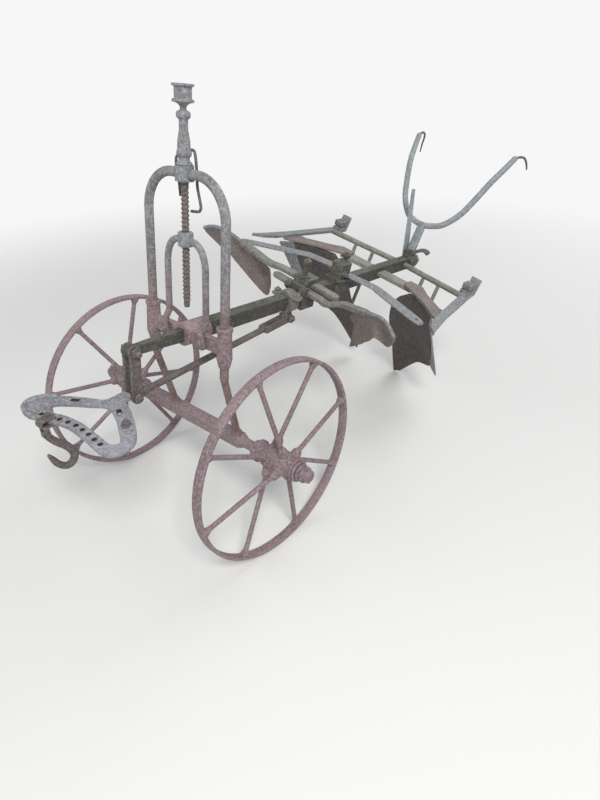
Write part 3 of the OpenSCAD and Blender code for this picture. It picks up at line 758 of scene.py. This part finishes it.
BAR_W, BAR_LEFT, BAR_RIGHT, PIN_HALF = 42, 178, -323, 26
FAR_RINGS = [
    (16.9, 423), (25, 423.5), (27, 425), (27, 431), (25, 433), (19, 434), (19, 437.5), (24, 438.5), (26, 440),
    (26, 446), (24, 448), (18, 449), (18, 452), (20.5, 454), (20.5, 460), (17, 463.5), (11, 464.9),
]
LEFT_NECK = [
    (23, 172), (23, 182), (19, 190), (16.9, 197), (16.9, 239), (28, 239.5), (29, 241), (29, 249), (28, 251),
    (16.9, 251.4),
]
RIGHT_NECK = [(23, 317), (23, 327), (28, 329.4), (29, 331), (29, 339), (28, 340.8), (16.9, 341)]
TWICE_BEAM_Y = BEAM_Y * 2000
rows = [Vector((0, y, 0)) for y in (BAR_RIGHT, BAR_RIGHT + 5, BAR_LEFT - 5, BAR_LEFT)]
bar = forged(worn(BAR_W, BAR_W, 2.4), rows, (1, 0, 0), [(0.9, 0.9), (1, 1), (1, 1), (0.9, 0.9)])
left_end = lathe(LEFT_NECK + FAR_RINGS, 40)
right_end = lathe(RIGHT_NECK + [(r, h + TWICE_BEAM_Y) for r, h in FAR_RINGS], 40)
pins = [drawn_rod([(0, y, -PIN_HALF), (0, y, PIN_HALF)], 3.4) for y in (457, -457 - TWICE_BEAM_Y)]
settle(left_end, Y_AXIS)
settle(right_end, Y_AXIS.inverted())
bearer = settle(joined([bar, left_end, right_end] + pins), BASE @ at(0, 0, WHEEL_R * 1000))
keep(bearer, "forged_axle", "rust", "axle", ["axle"], 36)

# Lift screw: a coarse square thread, and its turned head with the crank's socket

THREAD_CORE, THREAD_CREST, THREAD_PITCH, THREAD_TURNS, THREAD_Z = 0.0088, 0.0110, 0.012, 27, 94
THREAD_ROWS = [
    (THREAD_CORE, 0), (THREAD_CORE, 0.42), (THREAD_CREST, 0.50), (THREAD_CREST, 0.88), (THREAD_CORE, 0.96),
    (THREAD_CORE, 1.0),
]


def lift_thread():
    fresh()
    bpy.ops.mesh.primitive_grid_add(x_subdivisions=len(THREAD_ROWS) - 1, y_subdivisions=1, size=0.01)
    thread = bpy.context.object
    edit(thread)
    choose(thread, lambda v: v.co.y > 0)
    bpy.ops.mesh.delete(type="VERT")
    fresh()
    for point, (radius, share) in zip(sorted(thread.data.vertices, key=lambda v: v.co.x), THREAD_ROWS):
        point.co = (radius, 0, share * THREAD_PITCH)
    coil = thread.modifiers.new("thread", "SCREW")
    coil.axis, coil.angle, coil.screw_offset, coil.iterations = "Z", 2 * math.pi, THREAD_PITCH, THREAD_TURNS
    coil.steps = coil.render_steps = 20
    coil.use_merge_vertices = True
    apply(thread, "thread")
    edit(thread)
    bpy.ops.mesh.remove_doubles(threshold=DOUBLES)
    bpy.ops.mesh.fill_holes(sides=0)
    fresh()
    settle(thread, ARCH @ at(0, 0, THREAD_Z))
    tip = settle(lathe([(7, 84), (8.6, 88), (8.8, 104)], 20), ARCH)
    neck = settle(lathe([(8.8, 418), (10.8, 420), (10.8, 432), (10, 434)], 20), ARCH)
    keep(tidy(joined([thread, tip, neck])), "lift_screw_thread", "dim", "lift_screw", ["lift_screw"])


lift_thread()
HEAD = [
    (0, -24), (13, -24), (13, 20.6), (22, 20.6), (23, 22.5), (22, 25), (15, 32), (15, 39), (19, 43),
    (20.5, 47), (20.5, 52), (19, 56), (17.5, 60), (17.2, 78), (14, 96), (12.4, 104), (12, 124), (12.4, 130),
    (17, 134), (18.8, 137), (18.8, 146), (17, 149), (10, 152), (8.6, 154), (8.6, 160), (12, 164), (18, 168),
    (28, 170), (29, 171), (29, 175), (28, 176.5), (23, 178), (23, 205), (28, 206), (29, 207), (29, 211),
    (28, 212), (12, 212), (12, 182), (0, 182),
]
socket = settle(turned(metres(HEAD), 36), ARCH @ at(0, 0, ARCH_TOP * 1000))
keep(socket, "screw_socket", "arch", "screw_head", ["screw_head"])

# Bail of thin rod that hangs from the neck of the screw's head

BAIL = [
    (-19, 2, 357), (-19, 34, 360), (-19, 42, 366), (-19, 44, 375), (-19, 37, 400), (-19, 30, 426),
    (-19, 29, 458), (-22, 20, 500), (-30, 4, 512), (-33, -16, 512), (-29, -38, 506), (-21, -56, 494),
    (-19, -58, 478), (-19, -53, 462), (-19, -47, 430), (-19, -42, 391),
]
keep(settle(drawn_rod(BAIL, 4), ARCH), "bail_rod", "dim", "arch")

# Lift bow: a boss on the screw and two bent arms with flattened, bolted feet

BOW_Y, BOW_R, BOW_BOLT = 84, 10, (24, 84, -4)
BOW_BOSS = [(11.05, 262), (20, 262), (22, 264.5), (22, 299.5), (20, 302), (11.05, 302)]
BOW_ARM = [
    (0, 15, 280), (0, 44, 276), (0, 68, 258), (0, 82, 222), (0, BOW_Y, 170), (0, BOW_Y, 64), (5, BOW_Y, 48),
    (17, BOW_Y, 26), (20, BOW_Y, 8),
]
BOW_FOOT = [(19, 26), (20, 18), (19.5, 8), (18.5, -2), (18, -10), (18, -17), (18, -22)]
BOW_PAD = [(0.80, 1.05), (1.0, 0.95), (1.35, 0.8), (1.7, 0.66), (1.75, 0.62), (1.6, 0.6), (1.0, 0.55)]
parts = [turned(metres(BOW_BOSS), 36)]
for s in (-1, 1):
    parts.append(drawn_rod([(x, y * s, z) for x, y, z in BOW_ARM], BOW_R))
    line = [Vector((x, BOW_Y * s, z)) for x, z in BOW_FOOT]
    parts.append(forged(worn(2 * BOW_R, 2 * BOW_R, 5), line, (0, 1, 0), BOW_PAD))
    x, y, z = BOW_BOLT
    parts.append(settle(nut(20, 9, 6, 5, 11), at(x, y * s, z) @ X_AXIS))
keep(settle(joined(parts), ARCH), "bent_lift_bow", "arch", "lift_bow", ["lift_bow"])

# Bolts of the links: pins with a square head on one side and a nut on its thread on the other

ARM_LEN, COLLAR_X, COLLAR_DROP, DRAW_EYE = 226, 432, 64, (243, 550)


def pitched(x, z):
    """Where a point of the tilted beam is in the base frame, by X and Z in millimetres."""
    level = BEAM_Z * 1000
    return (
        x * math.cos(BEAM_TILT) - z * math.sin(BEAM_TILT),
        level + x * math.sin(BEAM_TILT) + z * math.cos(BEAM_TILT),
    )


parts = []
seats = [(pitched(ARM_LEN, 0), 20, 17), (DRAW_EYE, 20, 9), (pitched(-COLLAR_X, -COLLAR_DROP), 18, 8)]
for (x, z), seat, stub in seats:
    parts.append(settle(disc(7.97, -seat - 4, seat + 4, 0.77, 4), at(x, 0, z) @ Y_AXIS))
    parts.append(settle(nut(27, 9, 6, stub, 15.5), at(x, seat, z) @ Y_AXIS @ spun(0.3)))
    parts.append(settle(nut(26, 9, 4), at(x, -seat, z) @ Y_AXIS.inverted() @ spun(0.2)))
keep(settle(joined(parts), BASE), "link_pins_and_nuts", "dim", "link_bolts", ["link_bolts"])

# Regulator: a forged loop with a window, a row of draught holes and three slots

REG_LOW, REG_Z, REG_TOP, REG_HOLE_R = 554, 560, 566, 6
REG_BOLT, REG_SLOT, SLOT_ROUND, THROUGH = (357.6, 130.9), (26, 12), 0.004, 40
OUTLINE = [
    (262, -17), (298, -19), (324, -26), (342, -59), (369, -109), (401, -153), (438, -187), (466, -192),
    (489, -176), (500, -145), (497, -101), (483, -62), (467, -19), (460, 23), (461, 75), (465, 129),
    (469, 176), (461, 203), (445, 217), (415, 220), (380, 203), (341, 148), (307, 79), (290, 28), (262, 17),
]
WINDOW = [
    (338, 10), (365, -36), (395, -82), (424, -117), (450, -122), (459, -108), (449, -72), (440, -48),
    (432, -10), (428, 30), (429, 68), (432, 126), (435, 165), (426, 182), (412, 181), (393, 149), (352, 67),
]
HOLES = [
    (475, -96), (465, -65), (456, -34), (449, -3), (444, 28), (444, 59), (445, 90), (448, 121), (450, 152),
]
SLOTTED = [(333, 62, 62), (360, 131, 62), (377, -88, -58)]
LIP = [
    (398, -150, 561), (414, -169, 562), (438, -185, 563), (466, -189, 563), (487, -173, 563),
    (496, -145, 562), (496, -112, 561),
]


def slot_block(width, depth, height, rounding):
    return block((width, depth, height), (0, 0, 0), rounding)


loop = sawn_plate([tuple(p) for p in round_closed(OUTLINE, 4)], REG_LOW, REG_TOP)
window = sawn_plate([tuple(p) for p in round_closed(WINDOW, 4)], REG_Z - THROUGH / 2, REG_Z + THROUGH / 2)
cut(loop, [window])
for x, y in HOLES:
    fresh()
    bpy.ops.mesh.primitive_cylinder_add(
        vertices=28, radius=REG_HOLE_R / 1000, depth=THROUGH / 1000, location=mm(x, y, REG_Z)
    )
    cut(loop, [bpy.context.object])
slots = [at(x, y, REG_Z) @ spun(math.radians(turn)) for x, y, turn in SLOTTED]
for place in slots:
    cut(loop, [settle(slot_block(*REG_SLOT, THROUGH, SLOT_ROUND), place)])
eased_edges(loop, 0.0016, 50)
eye = block((36, 10, 30), (261, 0, REG_LOW), 0.002)
link_x, link_z = DRAW_EYE
knuckle = settle(disc(17, -5, 5, 1, 1, 36), at(link_x, 0, link_z) @ Y_AXIS)
bore = settle(lathe([(8, -30), (8, 30)], 32), at(link_x, 0, link_z) @ Y_AXIS)
root = cut(joined([eye, knuckle]), [bore])
lip = smooth_line(LIP, 5)
lip = forged(worn(21, 14, 5), lip, (0, 0, 1), [(0.8, 0.8)] + [(1.0, 1.0)] * (len(lip) - 2) + [(0.8, 0.8)])
tie = settle(nut(21, 8, 6, 6, 11, 30), at(*REG_BOLT, REG_TOP))
tie_head = settle(nut(20, 6, 4), at(*REG_BOLT, REG_LOW) @ X_TURN)
keep(settle(joined([loop, root, lip]), BASE), "forged_regulator", "loop", "regulator", ["regulator"], 40)
keep(settle(joined([tie, tie_head]), BASE), "regulator_bolt", "dim", "regulator")

# Painted shade in the holes and slots: dark rust-coloured linings on their walls, a hair inside them and
# proud of the faces, that darken them as shade would

HOLE_LINING = [(5.95, 553.6), (7.4, 553.6), (7.6, 566.4), (5.95, 566.4)]
SLOT_LINING, SLOT_LINED = (29, 15, 12.6), (25.8, 11.8, THROUGH)
ring = turned(metres(HOLE_LINING), 24)
rim = cut(slot_block(*SLOT_LINING, 0.001), [slot_block(*SLOT_LINED, SLOT_ROUND)])
linings = [
    copies(ring, [BASE @ at(x, y, 0) for x, y in HOLES]),
    copies(rim, [BASE @ place for place in slots]),
]
keep(joined(linings), "painted_shade_in_holes", "hole_shade", "regulator")

# Draught hook: a drawn, tapering bend with its eye on the clevis' pin

HOOK_AT, CLEVIS_AT = (492, -60, 524), (486, -60, REG_Z)
HOOK = [
    (0, -6, 10), (-18, -34, 11), (-42, -62, 12), (-57, -90, 12), (-57, -111, 11.5), (-45, -125, 11),
    (-26, -125, 10.5), (-8, -108, 10), (2, -88, 9), (12, -64, 4),
]
CLEVIS = [
    (-26, 9.6), (-12, 10), (4, 10), (13, 8), (17, 2), (17, -4), (12, -10), (2, -11.5), (-14, -11.5),
    (-26, -11),
]
hook = drawn_rod([(x, 0, z) for x, z, _ in HOOK], [r for _, _, r in HOOK], 8)
ring = settle(disc(12, -6, 6, 2, 1.5, 32), Y_AXIS)
pin = settle(disc(5, -19, 19, 0.8, 1, 24), Y_AXIS)
bend = settle(joined([hook, ring, pin]), BASE @ at(*HOOK_AT))
keep(bend, "drawn_draught_hook", "dim", "draft_hook", ["draft_hook"])
band = forged(worn(30, 7, 1.6), [Vector((x, 0, z)) for x, z in CLEVIS], (0, 1, 0))
cheeks = [block((15, 5.5, 40), (6, s * 14, -28), 0.002) for s in (-1, 1)]
knob = settle(lathe([(6, 12), (8.5, 14), (8.5, 20), (6, 24), (3, 25)], 20), at(-12, 0, 0))
clevis = settle(joined([band, knob] + cheeks), BASE @ at(*CLEVIS_AT))
keep(clevis, "draught_clevis", "dim", "hook_strap", ["hook_strap"])

# Collar bolts, square heads on the half collar's ears

EAR_Y, EAR_Z, EAR_TURN = 47, 24, 0.3
ear = joined([block((34, 30, 12), (0, 0, -6), 0.003), nut(19, 11, 4, 5, 11)])
ears = copies(ear, [PITCH @ at(-COLLAR_X, s * EAR_Y, EAR_Z) @ spun(EAR_TURN * s) for s in (-1, 1)])
keep(ears, "collar_ears_and_bolts", "arm", "swivel_collar")

# Skims: a flat arm through the clamp, bent down to a small curved plate with a rolled upper edge

SKIM = [  # each section's inner point, outer point and hollow
    ((-410, 450, 98), (-426, 448, 76), (0, 0, 0)),
    ((-424, 414, 114), (-500, 402, 4), (-4, 0, 3)),
    ((-442, 374, 116), (-478, 376, 20), (-6, 0, 4)),
    ((-456, 326, 106), (-470, 352, 22), (-6, 0, 4)),
    ((-472, 290, 90), (-500, 318, -21), (-6, 0, 4)),
    ((-486, 258, 68), (-568, 220, -115), (-4, 0, 2)),
    ((-540, 200, 8), (-622, 242, -104), (-6, 0, 0)),
]
SKIM_BACK, RIM_SECTIONS, RIM_WIDTH, RIM_LIFT = Vector((-7, 2, 4)), 5, 12, 0.22
SKIM_ARMS = [(1, "left", -494, 34.5, 130), (-1, "right", -530, 51.5, 142)]  # side, name, X, Z and tail


def skim_rim():
    """The thicker band along the upper edge of a skim's first sections."""
    rows = []
    for a, b, h in SKIM[:RIM_SECTIONS]:
        a, b, h = Vector(a), Vector(b), Vector(h)
        share = min(0.45, RIM_WIDTH / (b - a).length)
        lift = SKIM_BACK * RIM_LIFT
        rows.append((a - lift, a + (b - a) * share - lift + h * math.sin(math.pi * share), Vector((0, 0, 0))))
    return pressed_plate(rows, 0.010, SKIM_BACK, 48, 3)


for side, name, x, z, tail in SKIM_ARMS:
    rows = [(x, y, z) for y in (-tail, 8 - tail, 20 - tail, -40, 0, 40, 100)]
    bend = smooth_line([(x, 100, z), (x + 4, 132, z), (-508, 180, 54), (-494, 236, 70), (-476, 300, 88)], 6)
    line = [Vector(p) for p in rows] + bend[1:]
    grow = [(0.55, 0.9), (0.88, 1.0), (1.0, 1.0)] + [(1.0, 1.0)] * (len(line) - 4) + [(0.9, 0.7)]
    arm = settle(forged(worn(31.6, 16.6, 2.2), line, (1, 0, 0), grow), beam_side(side))
    plate = settle(pressed_plate(SKIM, 0.0065, SKIM_BACK, 48, 14), beam_side(side))
    rim = settle(skim_rim(), beam_side(side))
    node = "skim_" + name
    keep(rim, "skim_edge_" + name, "pale", node)
    keep(arm, "skim_arm_" + name, "arm", node, [node], 30)
    keep(plate, "skim_plate_" + name, "plate", node, [node], 45)

# Nuts on the clamps of the skims and coulters

CLAMP_NUTS = [  # width over flats, height, sides, and the stub's length and width; then the place on the beam
    ((27.6, 15.5, 6, 5, 16), at(-503, 0, 125.6)),
    ((26.6, 11.6, 6, 6, 13.5), at(-466, -34, 42) @ X_AXIS @ spun(-13.6)),
    ((26.6, 11.6, 6, 6, 13.5), at(-466, 34, 42) @ X_AXIS @ spun(13.6)),
    ((28.6, 13.4, 6, 5, 15), at(-740, 0, 112)),
    ((24, 10, 6, 6, 15.5), at(-706, -27, 60) @ Y_AXIS.inverted()),
    ((24, 10, 6, 6, 15.5), at(-706, 27, 60) @ Y_AXIS),
]
clamp_nuts = joined([settle(nut(*size), place) for size, place in CLAMP_NUTS])
keep(settle(clamp_nuts, BEAM), "clamp_nuts", "mossy", "beam")

# Coulters: long forged knives, thick at the back and thin along the front

KNIFE = [(17, -2.4), (17, 2.4), (6, 6.2), (-15, 6.2), (-17, 4.4), (-17, -4.4), (-15, -6.2), (6, -6.2)]
KNIFE_GROW = [
    (1, 1), (1, 1), (1.02, 1), (1.12, 1), (1.22, 1), (1.24, 0.95), (1.22, 0.9), (1.1, 0.86), (0.72, 0.8),
]
KNIFE_ROOT, KNIFE_EYE, KNIFE_SLOT = 4.5 / 140, 0.905, (12, 24, 40)
COULTERS = [  # side, name, and the knife's root, bend and tip
    (1, "left", (-738, 0, 48), (-772, 140, 40), (-664, 414, 54)),
    (-1, "right", (-716, 0, 70), (-700, 140, 66), (-582, 408, 36)),
]
for side, name, *rows in COULTERS:
    a, b, c = (Vector(row) for row in rows)
    a = a + (b - a) * KNIFE_ROOT
    line = [a + (b - a) * t for t in (0, 0.45, 0.8)]
    line += [b + (c - b) * t for t in (0.02, 0.14, 0.5, 0.86, 0.95, 1)]
    blade = forged(KNIFE, line, (1, 0, 0), KNIFE_GROW)
    way = (c - b).normalized().to_track_quat("Y", "Z").to_matrix().to_4x4()
    place = Matrix.Translation((b + (c - b) * KNIFE_EYE) / 1000) @ way
    cut(blade, [settle(slot_block(*KNIFE_SLOT, SLOT_ROUND), place)])
    node = "coulter_" + name
    keep(settle(blade, beam_side(side)), "coulter_knife_" + name, "pale", node, [node], 30)

# Bodies: the moldboards, and the threads of the landsides' heel bolts

DEPTH, TOP = SHARE_DEPTH * 1000, 2.4
HEEL_X, HEEL_Y = -1166, DEPTH - 42
BOARD = [  # each section's inner point, outer point and hollow
    ((-962, 200, TOP), (-866, DEPTH - 30, TOP), (-10, 0, 0)),
    ((-968, 152, -42), (-890, DEPTH - 31, -42), (-26, 0, 4)),
    ((-988, 124, -100), (-930, DEPTH - 33, -100), (-34, 0, 10)),
    ((-1040, 112, -195), (-1000, DEPTH - 36, -196), (-30, 0, 20)),
    ((-1128, 110, -310), (-1098, DEPTH - 46, -318), (-24, 0, 26)),
    ((-1192, 112, -424), (-1166, DEPTH - 138, -378), (-14, 0, 16)),
    ((-1250, 120, -533), (-1246, 152, -514), (-2, 0, 2)),
]
for side, name in ((1, "left"), (-1, "right")):
    board = settle(pressed_plate(BOARD, PLATE_T, (-0.7, 0, 0.7), 60, 28), beam_side(side))
    keep(board, "curved_moldboard_" + name, "board", "moldboard_" + name, ["moldboard_" + name], 50)
    heel = settle(nut(41, 22.6, 4, 6, 19), at(HEEL_X, HEEL_Y, 47.8))
    ring = settle(disc(17, 0, 4, 2, 1), at(HEEL_X, HEEL_Y, 41))
    keep(settle(joined([heel, ring]), beam_side(side)), "heel_nut_" + name, "arm", "landside_" + name)

# Handles: a flat stem, one bent bar and its bare tangs

HANDLE_X, FORK_BACK, FORK_Y, FORK_Z, FORK_TURN = -1256, 82, 9, 694, math.radians(-6.9)
BOW = [
    (0, 0, -2), (-6, 46, 4), (-19, 92, 21), (-54, 141, 70), (-98, 174, 136), (-150, 203, 208),
    (-205, 224, 258), (-259, 241, 304),
]
LEFT_TANG = [(-250, 238, 296), (-272, 248, 303), (-294, 262, 300), (-308, 272, 280), (-314, 280, 252)]
RIGHT_TANG = [
    (-250, -238, 296), (-268, -240, 304), (-288, -238, 306), (-300, -236, 290), (-304, -244, 250),
    (-306, -248, 214),
]
STEM = [(-14, 1.5, 592), (-41, 4.5, 634), (-70, 7.8, 679), (-84, 9.2, 701)]
FORK = BASE @ at(HANDLE_X - FORK_BACK, FORK_Y, FORK_Z) @ Matrix.Rotation(FORK_TURN, 4, "X")
across = [(x, -y, z) for x, y, z in reversed(BOW)] + BOW[1:]
bow = settle(drawn_rod(across, [11.5, 12.5] + [13] * (len(across) - 4) + [12.5, 11.5], 5, sides=7), FORK)
tangs = [drawn_rod(LEFT_TANG, [5.5, 5, 4.8, 4.4, 3.2], 5), drawn_rod(RIGHT_TANG, [5.5, 5, 4.8, 4.6, 4, 3], 5)]
keep(settle(joined(tangs), FORK), "handle_tangs", "dim", "handle_fork")
grow = [(1, 1), (0.98, 1), (0.95, 1), (0.7, 0.9)]
stem = forged(worn(38, 18, 3), [Vector(p) for p in STEM], (0, 1, 0), grow)
settle(stem, BASE @ at(HANDLE_X, 0, 0))
keep(joined([bow, stem]), "bent_handles", "grey", "handle_fork", ["handle_fork"], 40)

# Tail: a large nut on the beam's end, and a small cast finger

TAIL_X, TAIL_TURN = -1292, 0.3
FINGER = [(-1262, 6, 34), (-1268, 28, 47), (-1278, 50, 56), (-1286, 68, 54), (-1288, 82, 42)]
tail = joined([nut(46, 27), disc(25, -1, 4, 3, 1, 36)])
settle(tail, BEAM @ at(TAIL_X, 0, 0) @ X_AXIS.inverted() @ spun(TAIL_TURN))
keep(tail, "tail_screw_nut", "crust", "tail_nut", ["tail_nut"])

grow = [(1.2, 1.3)] * 4 + [(1.05, 1.1)] * 4 + [(1, 1)] * 5 + [(1.2, 1)] * 3 + [(0.8, 0.7)]
finger = settle(forged(worn(26, 14, 4), smooth_line(FINGER, 4), (1, 0, 0), grow), PITCH)
keep(finger, "cast_finger", "dim", "handle_swivel")


# Floor, backdrop, light and camera

FLOOR_SIZE, FLOOR_TONE, FLOOR_ROUGHNESS = 60, (226, 226, 224), 0.9
FADE_NEAR, FADE_FAR, GLOW = 1.5, 4.5, (0.93, 0.93, 0.93, 1)
SKY_TONE, SKY_STRENGTH = (240, 241, 244), 0.4
LAMPS = [  # name, place, aim, size and power
    ("key", (2.6, 3.2, 4.2), (0, 0, 0.5), 1.4, 215),
    ("fill", (3.4, -2.8, 2.6), (0, 0, 0.5), 3.0, 46),
    ("back", (-3.4, 0.6, 3.6), (-0.4, 0, 0.5), 2.6, 70),
]
CAMERA_AT = Vector((1.56057, 1.34553, 1.42741))
YAW, DOWN, ROLL = math.radians(-138.557), math.radians(32.559), math.radians(-1.309)
FOCAL_PIXELS, PICTURE_HEIGHT, SENSOR = 572.57, 800, 24


def seen_plainly(tree):
    """Whether a ray comes from the camera, a mirror or glass."""
    path = add(tree, "LightPath").outputs
    seen = maths(tree, "MAXIMUM", path["Is Camera Ray"], path["Is Glossy Ray"])
    return maths(tree, "MAXIMUM", seen, path["Is Transmission Ray"])


def pale_floor():
    """A floor that fades to the plain backdrop with its distance, as far as it is seen."""
    fresh()
    bpy.ops.mesh.primitive_plane_add(size=FLOOR_SIZE, location=(0, 0, 0))
    floor = bpy.context.object
    floor.name = "pale_floor"
    pale = bpy.data.materials.new("pale_floor")
    pale.use_nodes = True
    tree = pale.node_tree
    shader = tree.nodes["Principled BSDF"]
    shader.inputs["Base Color"].default_value = tone(*FLOOR_TONE)
    shader.inputs["Roughness"].default_value = FLOOR_ROUGHNESS
    where = add(tree, "TexCoord").outputs["Object"]
    distance = add(tree, "VectorMath", {"operation": "LENGTH"}, Vector=where).outputs["Value"]
    far = times(tree, ramp(tree, distance, FADE_NEAR, FADE_FAR), seen_plainly(tree))
    glow = add(tree, "Emission", Color=GLOW, Strength=1.0)
    mixed = add(tree, "MixShader", _0=far, _1=shader.outputs[0], _2=glow.outputs[0])
    tree.links.new(mixed.outputs[0], tree.nodes["Material Output"].inputs["Surface"])
    floor.data.materials.append(pale)
    return floor


def backdrop():
    """Soft grey light all round, seen as a plain pale backdrop."""
    world = bpy.context.scene.world or bpy.data.worlds.new("studio")
    bpy.context.scene.world = world
    world.use_nodes = True
    tree = world.node_tree
    sky = tree.nodes["Background"]
    sky.inputs["Color"].default_value = tone(*SKY_TONE)
    sky.inputs["Strength"].default_value = SKY_STRENGTH
    plain = add(tree, "Background", Color=GLOW, Strength=1.0)
    mixed = add(tree, "MixShader", _0=seen_plainly(tree), _1=sky.outputs[0], _2=plain.outputs[0])
    tree.links.new(mixed.outputs[0], tree.nodes["World Output"].inputs["Surface"])


def lamp(name, place, aim, size, power):
    fresh()
    bpy.ops.object.light_add(type="AREA", location=place)
    made = bpy.context.object
    made.name, made.data.size, made.data.energy = name, size, power
    made.rotation_euler = (Vector(aim) - Vector(place)).to_track_quat("-Z", "Y").to_euler()


def photo_view():
    """A camera with the photograph's place, direction and focal length."""
    ahead = Vector((math.cos(YAW) * math.cos(DOWN), math.sin(YAW) * math.cos(DOWN), -math.sin(DOWN)))
    right = Vector((math.sin(YAW), -math.cos(YAW), 0))
    upward = right.cross(ahead)
    turned_right = right * math.cos(ROLL) + upward * math.sin(ROLL)
    turned_up = -right * math.sin(ROLL) + upward * math.cos(ROLL)
    bpy.ops.object.camera_add()
    camera = bpy.context.object
    camera.name = "photo_view"
    camera.data.sensor_fit, camera.data.sensor_height = "VERTICAL", SENSOR
    camera.data.lens = FOCAL_PIXELS / PICTURE_HEIGHT * SENSOR
    axes = Matrix((turned_right, turned_up, -ahead)).transposed().to_4x4()
    camera.matrix_world = Matrix.Translation(CAMERA_AT) @ axes
    bpy.context.scene.camera = camera


pale_floor()
backdrop()
for row in LAMPS:
    lamp(*row)
photo_view()
bpy.context.scene.view_settings.view_transform = "Standard"
